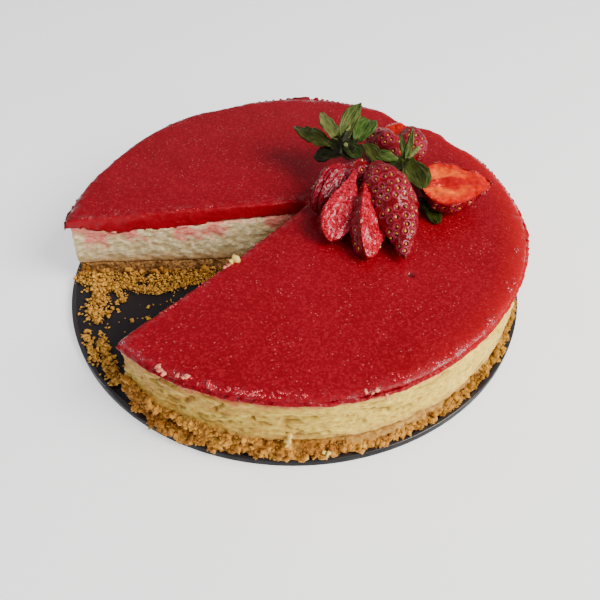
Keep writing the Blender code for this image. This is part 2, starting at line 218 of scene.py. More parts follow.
def settle(piece, node, look, crease=None):
    """A finished piece: smooth, dressed, riding on the cake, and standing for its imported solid."""
    pick(piece)
    if crease:
        bpy.ops.object.shade_smooth_by_angle(angle=crease)
    else:
        bpy.ops.object.shade_smooth()
    piece.data.materials.append(look.material)
    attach(piece, "root")
    if node:
        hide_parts(node)
    print(f"{piece.name}: {len(piece.data.polygons)} faces")
    return piece


# %% [markdown]
# ## Where a point is on the cake
# Every layer meets the missing slice at two upright cuts. The knife's two directions are known, so
# the distance of a point from each cut tells crumbs and colours where they belong.

# %% Radius and distance from the cuts
SLICE_POINT = np.array((9.0, 11.0)) * MM
FAR_CUT, NEAR_CUT = math.radians(188.0), math.radians(229.3)
SIDE_RADIUS = 111 * MM


def radius_of(rows):
    return np.hypot(rows[:, 0], rows[:, 1])


def turn_of(rows):
    """Which way points lie from the middle, in degrees: 0 at +X and -90 at the front."""
    return np.degrees(np.arctan2(rows[:, 1], rows[:, 0]))


def height_of(rows):
    """Heights in millimetres."""
    return rows[:, 2] / MM


def ways_of(direction):
    """Two level unit vectors: along a cut from the slice's point, and to its left."""
    along = np.array((math.cos(direction), math.sin(direction)))
    return along, np.array((-along[1], along[0]))


def from_cut(rows, direction):
    """Distance of each point from the upright plane of a cut, on either side of it."""
    return np.abs((rows[:, :2] - SLICE_POINT) @ ways_of(direction)[1])


def on_cut(rows):
    """1 on the two cut faces, falling to 0 within a few millimetres behind them."""
    nearest = np.minimum(from_cut(rows, FAR_CUT), from_cut(rows, NEAR_CUT) * 0.8)
    return (1 - step(3 * MM, 5 * MM, nearest)) * (rows[:, 0] < 12 * MM)


def on_side(rows, normals):
    """1 on upright faces, 0 on the joints between the layers."""
    return 1 - step(0.6, 0.9, np.abs(normals[:, 2]))


# %% [markdown]
# Two uneven things are shared by the layers. The crust climbs over the foot of the cheese at the
# front left, up to a ragged line, and the knife was not held upright at the far cut, so the foot of
# that cut comes forward. Each table gives degrees round the cake and millimetres.

# %% The ragged line and the leaning cut
CRUST_TOP = 12.5
CRUMB_LINE = ((-180, CRUST_TOP), (-136, 21), (-127, 21), (-118, 17.5), (-107, 17), (-101, 15.5),
              (-96, 13), (-88, CRUST_TOP), (-80, 11.0), (-66, 9.5), (-52, 10.5), (-38, 12),
              (-15, CRUST_TOP), (180, CRUST_TOP))
CRUST_BULGE = ((-180, 0), (-140, 1.5), (-125, 3.2), (-100, 3.0), (-80, 2.2), (-60, 1.2), (-40, 0.8),
               (0, 0.3), (180, 0))
LEAN_PER_MM, LEAN_ENDS, LEAN_TOP = 0.085, 112, 38


def round_the_cake(rows, table):
    return np.interp(turn_of(rows), *zip(*table))


def above_crumbs(rows):
    """Height over the line where crust gives way to cheese, in millimetres; below 0 is crust."""
    line = np.where(radius_of(rows) > 100 * MM, round_the_cake(rows, CRUMB_LINE), CRUST_TOP)
    return height_of(rows) - line - 1.6 * lumps(rows, 7, 31) - 1.1 * lumps(rows, 2.6, 32)


def lean_far_cut(rows):
    """Brings the foot of the far cut forward, more so towards the middle of the cake."""
    way, left = ways_of(FAR_CUT)
    away = rows[:, :2] - SLICE_POINT
    along, beside, height = away @ way / MM, away @ left / MM, height_of(rows)
    near = step(-14, -1, -np.abs(beside)) * (rows[:, 0] < 0)
    size = LEAN_PER_MM * np.clip(LEAN_ENDS - along, 0, None) * step(4, 45, along)
    depth = np.clip((LEAN_TOP - height) / 26, 0, 1) + np.clip((11 - height) / 9, 0, 1)
    moved = rows.copy()
    moved[:, :2] += np.outer(near * size * depth * MM, left)
    return moved


# %% [markdown]
# The joints between the layers are hidden, so their points are thinned out in edit mode, where the
# decimate operator works on the selected faces only. All detail is left for the faces that show.

# %% Thin out what the joints hide
HIDDEN_SHARE, HIDDEN_RADIUS = 0.05, 96 * MM


def thin_joints(piece, joints):
    """Keeps few faces on the level joints, given by the way they face: 1 is up, -1 is down."""
    mesh = piece.data
    upward = read(mesh.polygons, "normal", 3)[:, 2]
    centre = read(mesh.polygons, "center", 3).astype(float)
    level = np.any([upward * way > 0.8 for way in joints], axis=0)
    for items in (mesh.vertices, mesh.edges):
        items.foreach_set("select", np.zeros(len(items), bool))
    mesh.polygons.foreach_set(
        "select", level & (radius_of(centre) <= HIDDEN_RADIUS) & (on_cut(centre) < 0.01))
    pick(piece)
    bpy.context.tool_settings.mesh_select_mode = (False, False, True)
    with edit_mode():
        bpy.ops.mesh.decimate(ratio=HIDDEN_SHARE)
    print(f"{piece.name}: {len(upward)} faces thinned to {len(mesh.polygons)}")


# %% [markdown]
# ## Writing materials
# A material is a small tree of nodes that ends in one shader. The class below only shortens the
# typing: each method adds one node or a few and returns the output. All patterns read the piece's own
# coordinates or its own map, so they stay put when the piece is seen from elsewhere.

# %% A short way to write materials
WHOLE_MAP = 1000        # a map's full length counts as a metre


class Look:
    def __init__(self, name, **sockets):
        """Even values for the shader's sockets, with _ for each space in a socket's name."""
        self.material = bpy.data.materials.new(name)
        self.material.use_nodes = True
        self.tree = self.material.node_tree
        self.shader = self.tree.nodes["Principled BSDF"]
        self.place = self.add("ShaderNodeTexCoord").outputs["Object"]
        for socket, value in sockets.items():
            self.shader.inputs[socket.replace("_", " ")].default_value = value

    def set(self, socket, value):
        if isinstance(value, bpy.types.NodeSocket):
            self.tree.links.new(value, socket)
        else:
            socket.default_value = value

    def add(self, kind, inputs=(), **settings):
        made = self.tree.nodes.new(kind)
        for key, value in settings.items():
            setattr(made, key, value)
        for key, value in dict(inputs).items():
            self.set(made.inputs[key], value)
        return made

    def into(self, socket, source):
        self.set(self.shader.inputs[socket], source)

    def noise(self, size, detail=3, stretch=(1, 1, 1), place=None, rough=0.55):
        """Soft noise from 0 to 1, with lumps of this many millimetres."""
        place = self.add("ShaderNodeMapping", {"Vector": place or self.place, "Scale": stretch}).outputs[0]
        inputs = {"Vector": place, "Scale": 1 / (size * MM), "Detail": detail, "Roughness": rough}
        return self.add("ShaderNodeTexNoise", inputs).outputs["Fac"]

    def ramp(self, value, low, high, to_low=0.0, to_high=1.0):
        """Stretches the range low to high over to_low to to_high, and holds it at the ends."""
        inputs = {"Value": value, "From Min": low, "From Max": high, "To Min": to_low, "To Max": to_high}
        return self.add("ShaderNodeMapRange", inputs).outputs[0]

    def patches(self, size, low, high, to_low=0.0, to_high=1.0, detail=3, stretch=(1, 1, 1)):
        """Noise with its range stretched."""
        return self.ramp(self.noise(size, detail, stretch), low, high, to_low, to_high)

    def cells(self, size):
        inputs = {"Vector": self.place, "Scale": 1 / (size * MM)}
        return self.add("ShaderNodeTexVoronoi", inputs, feature="F1").outputs["Distance"]

    def painted(self, name):
        return self.add("ShaderNodeAttribute", attribute_name=name).outputs["Fac"]

    def chart(self, name):
        return self.add("ShaderNodeUVMap", uv_map=name).outputs[0]

    def along(self, axis, place=None):
        """How far a point lies along X, Y or Z, in metres, or as a share of a map."""
        return self.add("ShaderNodeSeparateXYZ", {0: place or self.place}).outputs[axis]

    def math(self, operation, first, second=0.0):
        return self.add("ShaderNodeMath", {0: first, 1: second}, operation=operation).outputs[0]

    def times(self, first, *others):
        for other in others:
            first = self.math("MULTIPLY", first, other)
        return first

    def mix(self, share, *colours):
        """Mixes two colours, each of them three numbers or another node's output."""
        first, second = [(*value, 1.0) if isinstance(value, tuple) else value for value in colours]
        return self.add("ShaderNodeMix", {0: share, 6: first, 7: second}, data_type="RGBA").outputs[2]

    def coats(self, colour, *over):
        """Lays colours one over another, each with its share."""
        for share, coat in over:
            colour = self.mix(share, colour, coat)
        return colour

    def bump(self, value, depth, strength):
        """Fine relief, depth in millimetres."""
        inputs = {"Height": value, "Distance": depth * MM, "Strength": strength}
        return self.add("ShaderNodeBump", inputs).outputs["Normal"]


# %% [markdown]
# ## Floor and light
# A plain pale floor and three soft square lights: daylight from the upper right, a low one at the
# front right that lights the side of the cake, and a small one at the back left for a few glints.

# %% Floor, world and lamps
FLOOR_SIDE, FLOOR_GLOW = 5.0, 0.7
WHITE = (1.0, 1.0, 1.0, 1.0)
SKY_COLOUR, SKY_STRENGTH = (0.93, 0.96, 1.0, 1.0), 0.42
LAMP_AIM = Vector((0, 0, 0.03))
LAMPS = (       # name, place and side in metres, watts, colour
    ("window", (0.85, -0.34, 0.85), 0.7, 26, (1.0, 0.97, 0.93)),
    ("low_right", (0.65, -1.1, 0.30), 0.7, 8, (1.0, 0.97, 0.92)),
    ("left_glint", (-0.75, 0.35, 0.9), 0.15, 2, (0.86, 0.88, 1.0)),
)

floor = add_mesh(bpy.ops.mesh.primitive_plane_add, "floor", size=FLOOR_SIDE, location=(0, 0, 0))
look = Look("pale_floor", Roughness=0.6, Emission_Color=WHITE, Emission_Strength=FLOOR_GLOW)
look.into("Base Color", look.mix(look.noise(400), (0.91, 0.91, 0.91), (0.94, 0.94, 0.94)))
floor.data.materials.append(look.material)

world = bpy.data.worlds.new("studio")
bpy.context.scene.world = world
world.use_nodes = True
sky = world.node_tree.nodes["Background"].inputs
sky["Color"].default_value, sky["Strength"].default_value = SKY_COLOUR, SKY_STRENGTH

for name, place, side, power, colour in LAMPS:
    bpy.ops.object.light_add(type="AREA", location=place)
    lamp = bpy.context.object
    lamp.name = name
    lamp.data.size, lamp.data.energy, lamp.data.color = side, power, colour
    lamp.rotation_euler = (LAMP_AIM - Vector(place)).to_track_quat("-Z", "Y").to_euler()
print("lamps", [row[0] for row in LAMPS])

# %% [markdown]
# ## The tin base
# A pressed steel disc with a dark baked-on coat. Its rim is a rounded bead that catches one thin
# line of light. A cylinder, inset and pushed down, then bevelled, is how the press makes it.

# %% Tin base
TIN_RADIUS, TIN_RIM_TOP, TIN_FLOOR_TOP, TIN_SHEET = 120.0, 3.9, 3.2, 1.0
TIN_RIM_WIDTH, TIN_SLOPE_WIDTH, TIN_ROUNDING, SHINY_WIDTH = 2.2, 0.5, 0.7, 2.6
TIN_SIDES = 240


def press_tin():
    tin = add_mesh(
        bpy.ops.mesh.primitive_cylinder_add, "tin_disc", vertices=TIN_SIDES, radius=TIN_RADIUS * MM,
        depth=TIN_RIM_TOP * MM, location=(0, 0, TIN_RIM_TOP / 2 * MM))
    bpy.ops.object.transform_apply(location=True)
    with edit_mode():
        for upward, sink, width in ((True, TIN_FLOOR_TOP - TIN_RIM_TOP, TIN_RIM_WIDTH),
                                    (False, TIN_FLOOR_TOP - TIN_SHEET, TIN_SHEET)):
            bpy.ops.mesh.select_all(action="DESELECT")
            form = bmesh.from_edit_mesh(tin.data)
            cap = next(face for face in form.faces if len(face.verts) > 4 and (face.normal.z > 0) == upward)
            cap.select_set(True)
            bmesh.update_edit_mesh(tin.data)
            bpy.ops.mesh.inset(thickness=width * MM)
            bpy.ops.mesh.inset(thickness=TIN_SLOPE_WIDTH * MM)
            bpy.ops.transform.translate(value=(0, 0, sink * MM))
    modify(tin, "BEVEL", width=TIN_ROUNDING * MM, segments=4, limit_method="ANGLE",
           angle_limit=math.radians(28))
    rows = points_of(tin)
    radius, height = radius_of(rows), rows[:, 2]
    paint(tin, rim=(radius > (TIN_RADIUS - SHINY_WIDTH) * MM) * (height > (TIN_RIM_TOP - 0.2) * MM),
          side=(radius > (TIN_RADIUS - 0.5) * MM) * (height < (TIN_RIM_TOP - 0.1) * MM))
    return tin


look = Look("dark_tin", Roughness=0.42, Specular_IOR_Level=0.12, Coat_Roughness=0.12)
baked_coat = look.mix(look.noise(26, 5), (0.009, 0.0075, 0.009), (0.028, 0.025, 0.029))
# The outer wall, marked side, is painted darker than the coat on top: painted shade.
look.into("Base Color", look.mix(look.painted("side"), baked_coat, (0.004, 0.003, 0.005)))
look.into("Roughness", look.patches(7, 0.3, 0.7, 0.34, 0.55, detail=4))
look.into("Coat Weight", look.painted("rim"))
look.into("Normal", look.bump(look.noise(0.8, 2), 0.04, 0.4))
settle(press_tin(), "tin_base", look, crease=math.radians(40))

# %% [markdown]
# ## The crumb crust
# Crushed biscuit pressed into a base. Where it was pressed against the tin's wall it broke into
# clumps with gaps between them, and where the knife went through it is more even. Cells at two sizes
# make the clumps, and the depth of each gap is painted on the mesh, where the colour is darkened as
# painted shade.

# %% Crust
CRUST_VOXEL, CRUST_CLUMP, CRUST_GRAIN = 0.75, 6.0, 2.2
CRACK_TURN, CRACK_HALF = -42, 7        # an open joint under the cheese, in degrees round the cake


def crumble(rows):
    """How far each point of a crumbly side stands out, in millimetres, and how deep its gap is, for painted
    shade.
    """
    big, grain = clumps(rows, CRUST_CLUMP), clumps(rows, CRUST_GRAIN, 2)
    relief = 1.3 * big + 0.9 * grain + 1.5 * lumps(rows, 13, 1) + 0.6 * lumps(rows, 3, 5)
    return relief, step(0.15, -0.75, 0.8 * big + 0.5 * grain)


def bake_crust():
    crust = copy_solid("crust", "crumb_base", CRUST_VOXEL)
    thin_joints(crust, (1, -1))
    rows, normals = points_of(crust), normals_of(crust)
    side, cut = on_side(rows, normals), on_cut(rows)
    relief, gap = crumble(rows)
    bulge = round_the_cake(rows, CRUST_BULGE) * step(13.5, 9, height_of(rows))
    relief = (relief + bulge) * (1 - cut) + (0.4 * relief - 0.4) * cut
    outward = normals * (1, 1, 0.4)
    height = above_crumbs(rows)
    joint = (np.abs(height) < 0.8) * (np.abs(turn_of(rows) - CRACK_TURN) < CRACK_HALF)
    put_points(crust, lean_far_cut(rows + outward * (side * (relief - 1.2 * joint))[:, None] * MM))
    # gap darkens the gaps between clumps and the open joint: painted shade.
    paint(crust, gap=np.clip(gap + joint, 0, 1) * side,
          curd=side * (1 - cut) * step(-0.5, 0.5, height), cut=cut)
    return crust


def crumb_colours(look):
    """Golden biscuit with darker grains, in soft patches, and deeper gold on the right."""
    grain, patch = look.patches(1.3, 0.32, 0.68, detail=4), look.patches(8, 0.38, 0.66)
    bright = look.mix(grain, (0.36, 0.135, 0.014), (0.82, 0.43, 0.075))
    dark = look.mix(grain, (0.13, 0.040, 0.006), (0.44, 0.175, 0.026))
    deep = look.mix(grain, (0.14, 0.06, 0.004), (0.42, 0.20, 0.010))
    return look.coats(dark, (patch, bright), (look.ramp(look.along("X"), 0.02, 0.10, 0, 0.6), deep))


look = Look("biscuit_crumb", Roughness=0.85, Specular_IOR_Level=0.12)
cut_brown = look.mix(look.patches(1.1, 0.38, 0.64, detail=4), (0.11, 0.040, 0.009), (0.50, 0.25, 0.075))
curd_over = look.mix(look.patches(2.4, 0.3, 0.7, detail=4, stretch=(1, 1, 2)),
                     (0.26, 0.110, 0.025), (0.56, 0.32, 0.075))
look.into("Base Color", look.coats(
    crumb_colours(look),
    (look.painted("cut"), cut_brown),
    # the gaps, darkened as painted shade
    (look.times(look.painted("gap"), 0.9), (0.060, 0.020, 0.005)),
    (look.painted("curd"), curd_over)))
look.into("Normal", look.bump(look.noise(0.7), 0.5, 0.8))
crust = settle(bake_crust(), "crust", look)

# %% [markdown]
# ## The cheese
# Baked curd that shrank from the tin: its side is wrinkled in level folds, with a few long cracks,
# golden where it met hot metal. The knife leaves a curdled face of soft lumps. Red juice from the
# gel has soaked into its top edge. The side is painted lighter on the right and darker and more
# golden on the left, as painted light and shade, and the cracks, the hole and the creases between
# curds are painted darker, as painted shade.

# %% Cheese
CHEESE_VOXEL, CHEESE_TOP = 0.95, 38.8
HOLE, HOLE_SIZE = np.array((-0.8, -116.0, 26.8)) * MM, np.array((4.2, 8.0, 1.7)) * MM


def bake_cheese():
    cheese = copy_solid("cheese", "baked_curd", CHEESE_VOXEL)
    thin_joints(cheese, (1, -1))
    rows, normals = points_of(cheese), normals_of(cheese)
    side, cut, height = on_side(rows, normals), on_cut(rows), height_of(rows)
    far = cut * step(6 * MM, 4 * MM, from_cut(rows, FAR_CUT))
    folds = (0.9 * lumps(rows, (16, 16, 3.4)) + 0.65 * lumps(rows, (5.5, 5.5, 1.7), 1)
             + 0.3 * lumps(rows, (2.4, 2.4, 1.2), 7))
    winding_lines = 1 - step(0, 0.10, np.abs(lumps(rows, (17, 17, 4.0), 4)))
    cracks = winding_lines * step(-0.16, 0.02, lumps(rows, (22, 22, 9), 5))
    curds = 0.65 * clumps(rows, (5.2, 5.2, 2.6), 3) + 0.45 * lumps(rows, (2.4, 2.4, 1.3), 6)
    crumbs = side * step(0.5, -0.5, above_crumbs(rows)) * (1 - far)
    hole = np.exp(-((((rows - HOLE) / HOLE_SIZE) ** 2).sum(1)) ** 2)
    crumble_out, gap = crumble(rows)
    relief = (1 - cut) * (folds - 1.7 * cracks - 2.6 * hole) + cut * (curds - 0.15)
    relief = relief * (1 - crumbs) + crumbs * (crumble_out + 0.6 * round_the_cake(rows, CRUST_BULGE))
    put_points(cheese, lean_far_cut(rows + normals * (side * relief)[:, None] * MM))
    # dark marks the cracks, the hole and the creases between curds, painted darker as painted shade.
    dark = np.clip(np.maximum(cracks, hole) * (1 - cut) + cut * step(0.1, -0.6, curds), 0, 1)
    toast = step(-126, -118, turn_of(rows)) * step(-94, -104, turn_of(rows)) * step(32.5, 36, height)
    juice_line = (CHEESE_TOP - 4.6 - 9.0 * step(-0.25, 0.3, lumps(rows, 15, 41))
                  + 6.0 * lumps(rows, (4, 4, 2.2), 42))
    paint(cheese, crack=(dark * (1 - crumbs) + gap * crumbs) * side, crumbs=crumbs,
          toast=side * toast * step(-0.25, 0.15, lumps(rows, (7, 7, 3), 12)),
          cut=far, bleed=far * step(-4.0, 4.0, height - juice_line))
    return cheese


look = Look("curd", Specular_IOR_Level=0.2)
fine = look.patches(2.4, 0.3, 0.7, detail=4, stretch=(1, 1, 2))
east, up, cut = look.along("X"), look.along("Z"), look.painted("cut")
# shaded and bright are one cream, darker for the shaded left and lighter for the lit right: painted shade
# and painted light.
shaded = look.mix(fine, (0.28, 0.155, 0.015), (0.60, 0.43, 0.085))
bright = look.mix(fine, (0.52, 0.30, 0.018), (0.94, 0.72, 0.11))
pale = look.mix(fine, (0.44, 0.31, 0.11), (0.90, 0.77, 0.50))
# tan: darker golden patches of baked curd, weighted towards the left, partly painted shade there.
tan = look.times(look.patches(9, 0.40, 0.64, detail=5, stretch=(1, 1, 3)),
                 look.ramp(east, 0.03, -0.05, 0.25, 1.0), look.ramp(cut, 0, 1, 0.95, 0.1))
foot = look.math("ADD", up, look.patches(5, 0, 1, -3 * MM, 3 * MM))
top = look.math("ADD", up, look.patches(7, 0.2, 0.8, -3 * MM, 3 * MM, detail=4))
look.into("Base Color", look.coats(
    shaded,
    # lighter towards the lit right: painted light
    (look.ramp(east, -0.06, 0.08), bright),
    (cut, pale),
    (tan, look.mix(fine, (0.30, 0.115, 0.012), (0.56, 0.27, 0.03))),
    (look.ramp(foot, 18.5 * MM, 13 * MM, 0, 0.85), (0.36, 0.155, 0.045)),
    (look.painted("crumbs"), crumb_colours(look)),
    # cracks, the hole and curd creases, darkened as painted shade
    (look.times(look.painted("crack"), 0.8), look.mix(cut, (0.20, 0.085, 0.012), (0.42, 0.29, 0.11))),
    (look.times(look.painted("toast"), 0.75), (0.44, 0.14, 0.012)),
    (look.ramp(top, 34 * MM, 38.5 * MM, 0, 0.7), (0.62, 0.10, 0.07)),
    (look.times(look.painted("bleed"), 0.85), look.mix(fine, (0.58, 0.030, 0.045), (0.88, 0.27, 0.23)))))
look.into("Roughness", look.patches(1.5, 0.3, 0.7, 0.38, 0.62))
look.into("Normal", look.bump(look.noise(1.1, 4, (1, 1, 1.8)), 0.45, 0.7))
cheese = settle(bake_cheese(), "cheese", look)

# %% [markdown]
# ## The strawberry gel
# A purée set with gelatine, poured on the cheese. Its top is level and satin, full of tiny pale
# seeds and bubbles. Its rim bulges over the cheese with an uneven lower edge, and tiny wet bumps
# catch the light along every edge. The rim is painted lighter on the right, as painted light, and a
# small pit is painted darker, as painted shade.

# %% Gel
GEL_VOXEL, GEL_TOP = 1.1, 42.3 * MM
PIT, PIT_WIDTH = np.array((54.3, -44.8)) * MM, 1.6 * MM
BEVEL_FROM, BEVEL_WIDTH, BEVEL_DROP = 110.5, 6, 1.5


def pour_gel():
    gel = copy_solid("topping", "fruit_gel", GEL_VOXEL)
    thin_joints(gel, (-1,))
    rows, normals = points_of(gel), normals_of(gel)
    side, cut, radius = on_side(rows, normals), on_cut(rows), radius_of(rows)

    def near_rim(inside, outside):
        return step(SIDE_RADIUS - inside * MM, SIDE_RADIUS + outside * MM, radius)

    upper = rows[:, 2] > GEL_TOP - 1.2 * MM
    from_pit = np.hypot(*(rows[:, :2] - PIT).T) / PIT_WIDTH
    pit = upper * np.exp(-(from_pit ** 2))
    slope = np.clip((radius / MM - BEVEL_FROM) / BEVEL_WIDTH, 0, 1)
    edge = np.maximum(near_rim(4, 2), cut)
    relief = side * (0.45 * lumps(rows, 6) + 0.35 * lumps(rows, 2.6, 1))
    relief += upper * (0.16 * lumps(rows, 14, 2) + edge * 0.25 * lumps(rows, 3.4, 3))
    relief -= upper * BEVEL_DROP * slope ** 2 + 1.4 * pit
    low_edge = side * (rows[:, 2] < GEL_TOP - 1.8 * MM)
    sagging = low_edge * step(4 * MM, 3 * MM, from_cut(rows, FAR_CUT)) * step(-30 * MM, -60 * MM, rows[:, 0])
    moved = rows + normals * (relief + 0.5 * sagging)[:, None] * MM
    moved[:, 2] += low_edge * (0.9 * lumps(rows, 9, 4) + 0.5 * lumps(rows, 3.5, 5)) * MM
    moved[:, 2] -= sagging * (2.2 + 2.5 * lumps(rows, 11, 8)) * MM
    put_points(gel, moved)
    wet_rim = (0.7 * np.maximum(near_rim(2, 1.5), cut) * step(0.5, 0.75, normals[:, 2])
               * step(0.10, 0.25, lumps(rows, 3, 9)))
    # pit shapes the pit and darkens its colour as painted shade.
    paint(gel, cut=cut * side, wet=np.maximum(wet_rim, upper * np.exp(-(from_pit ** 2) / 2)),
          pit=pit, rim=near_rim(12, 4))
    return gel


look = Look("set_puree", Roughness=0.33, Specular_IOR_Level=0.14, Coat_Roughness=0.07)
specks = look.times(look.ramp(look.cells(2.0), 0.20, 0.07), look.patches(9, 0.45, 0.60, detail=4), 0.45)
# lit_rim: the rim painted lighter towards the lit right, as painted light.
lit_rim = look.times(look.painted("rim"), look.ramp(look.along("X"), 0.03, 0.11, 0, 0.6))
look.into("Base Color", look.coats(
    look.mix(look.patches(30, 0.3, 0.7), (0.192, 0.000, 0.0050), (0.230, 0.001, 0.0085)),
    (look.times(look.patches(1.1, 0.46, 0.72), 0.55), (0.44, 0.012, 0.022)),
    (specks, (0.86, 0.30, 0.24)),
    (look.times(look.painted("cut"), 0.7), (0.30, 0.002, 0.010)),
    # the pit, darkened as painted shade
    (look.ramp(look.painted("pit"), 0.2, 0.7), (0.08, 0.0, 0.002)),
    (lit_rim, (0.46, 0.003, 0.004))))
look.into("Coat Weight", look.painted("wet"))
look.into("Coat Normal", look.bump(look.noise(1.8, 2), 0.7, 0.9))
look.into("Roughness", look.patches(2.5, 0.3, 0.7, 0.24, 0.42))
look.into("Normal", look.bump(look.noise(1.3), 0.22, 0.55))
gel = settle(pour_gel(), "topping", look)

# %% [markdown]
# ## One strawberry slice
# A strawberry is a round body that tapers to its tip, so it starts as a sphere whose rings are
# squeezed to the fruit's outline. Two bisect cuts leave a slice with flat faces, and a voxel remesh
# gives it even points, softly rounded where flesh meets skin. While the slice still stands upright
# in its own coordinates, every point is painted: flesh or skin, ripeness with painted shade, and how
# near a seed. Seeds sit in dimples, in staggered rows. Only then is it bowed, laid down and pressed
# flat where it lies on the gel.

# %% Sizes of the strawberries
REST_HEIGHT = 42.2 * MM
BERRY_VOXEL = 0.45
BESIDE_POINTS = 0.013        # keeps a cut from running exactly through a row of points
SEED_SPACING = 4.3
DIMPLE_WIDTH, DIMPLE_DEPTH = 1.0, 0.75
SEED_LENGTH, SEED_WIDTH, SEED_HEIGHT, SEED_LIFT = 1.6, 1.05, 0.6, 0.12

# Places are in millimetres. between: where the two flat cuts lie, from the fruit's middle. widest:
# the share of its length where it is widest. sharp: less is blunter. ripe: -1 unripe
# orange; above 0 darker flesh, which on the two curls is painted shade.
USUAL_SLICE = dict(widest=0.33, sharp=0.8, sway=0, bend=0, ripe=0, glare=1.0)
FAN_SLICES = {
    "fan_cap": dict(stem=(39, 18, 60), tip=(52.3, -40, 46), facing=(0.6, 0, 0.8), between=(-3, 16),
                    width=25, depth=27, widest=0.38, sharp=0.95, sway=-4),
    "fan_tongue_right": dict(
        stem=(36.5, 14, 61), tip=(34.5, -38.5, 46.5), facing=(0.60, -0.33, 0.73), between=(-10, 0.7),
        width=17, depth=28, widest=0.62, sharp=0.62, bend=3, sway=-1),
    "fan_tongue_left": dict(
        stem=(31.5, 15, 61), tip=(17, -26.5, 47), facing=(0.15, -0.40, 0.90), between=(-6, 0),
        width=16.5, depth=28, widest=0.72, sharp=0.62, bend=4),
    # The two curls are painted darker through ripe: painted shade.
    "fan_curl_front": dict(
        stem=(30, 17, 60), tip=(14, -6, 47), facing=(0.45, -0.5, 0.75), between=(-4, 0),
        width=17, depth=28, widest=0.5, sharp=0.55, bend=3, ripe=0.8, glare=0.7),
    "fan_curl_back": dict(
        stem=(29, 18, 59), tip=(10.5, -3.5, 47), facing=(0.60, -0.5, 0.60), between=(-4, 0),
        width=21, depth=28, widest=0.5, sharp=0.55, bend=3, ripe=1.0, glare=0.6),
    "fan_crown": dict(stem=(33, 22, 57), tip=(37, 4, 52.5), facing=(0, 0, 1), between=(-20, 20),
                      width=24, depth=16),
}
BACK_SLICES = {
    "back_slice_left": dict(
        stem=(54, 25, 56), tip=(43.5, 60, 52), facing=(-0.4, -0.3, 0.85), between=(-6, 14),
        width=18, depth=21, widest=0.45, sharp=0.7, glare=0.15),
    "back_slice_middle": dict(
        stem=(57, 27, 57), tip=(55, 62, 55.5), facing=(-0.25, -0.5, 0.85), between=(-8, 2),
        width=15, depth=21, widest=0.6, sharp=0.6, ripe=-1.0),
    "back_slice_right": dict(
        stem=(59, 25, 56), tip=(65.5, 60, 51.5), facing=(0.3, -0.2, 0.85), between=(-6, 14),
        width=17, depth=21, widest=0.45, sharp=0.75, glare=0),
}
HALF_SLICES = {
    "half_strawberry": dict(stem=(63.5, 8, 55), tip=(101.5, 10, 54.5), facing=(0, -0.06, 1),
                            between=(-14, 0), width=34, depth=25, ripe=-1.0),
}


# %% Cutting one slice
def point(x, y, z):
    return Vector((x, y, z)) * MM


def girth(share, cut):
    """Half width from stem (0) to tip (1), as a share of the widest place."""
    inside = np.clip(share, 1e-6, 1 - 1e-6)
    power = math.log(0.5) / math.log(cut["widest"])
    return np.sin(np.pi * inside ** power) ** cut["sharp"]


def laying(cut):
    """The turn and shift that lay an upright slice from its stem to its tip."""
    stem, tip, facing = point(*cut["stem"]), point(*cut["tip"]), Vector(cut["facing"])
    up = (stem - tip).normalized()
    front = (facing - up * facing.dot(up)).normalized()
    turn = Matrix((front.cross(up), front, up)).transposed()
    return Matrix.Translation(stem) @ turn.to_4x4()


def upright_slice(name, cut, length):
    piece = add_mesh(bpy.ops.mesh.primitive_uv_sphere_add, name, segments=72, ring_count=54, radius=1)
    rows = points_of(piece)
    share, turn = (1 - rows[:, 2]) / 2, np.arctan2(rows[:, 1], rows[:, 0])
    spread = girth(share, cut) * MM / 2
    put_points(piece, np.stack((
        spread * cut["width"] * np.cos(turn), spread * cut["depth"] * np.sin(turn), -length * share), 1))
    with edit_mode():
        for height, clear_below in zip(cut["between"], (True, False)):
            bpy.ops.mesh.select_all(action="SELECT")
            bpy.ops.mesh.bisect(
                plane_co=(0, (height + BESIDE_POINTS) * MM, 0), plane_no=(0, 1, 0), use_fill=True,
                clear_inner=clear_below, clear_outer=not clear_below, threshold=1e-7)
    return modify(piece, "REMESH", mode="VOXEL", voxel_size=BERRY_VOXEL * MM)


def seed_places(cut, length, draw):
    """Staggered rows of seeds over the skin between the two cuts."""
    back, front = cut["between"]
    found = []
    rings = int(length / (SEED_SPACING * MM))
    for ring in range(1, rings):
        share = (ring + 0.3 * draw.uniform(-1, 1)) / rings
        spread = float(girth(share, cut)) / 2
        around = math.pi * spread * (cut["width"] + cut["depth"])
        count = max(3, round(around / SEED_SPACING))
        for number in range(count):
            turn = 2 * math.pi * (number + 0.5 * (ring % 2) + 0.14 * draw.uniform(-1, 1)) / count
            across, height = spread * cut["width"] * math.cos(turn), spread * cut["depth"] * math.sin(turn)
            if back + 0.7 < height < front - 0.7:
                found.append(Vector((across * MM, height * MM, -length * share)))
    return found


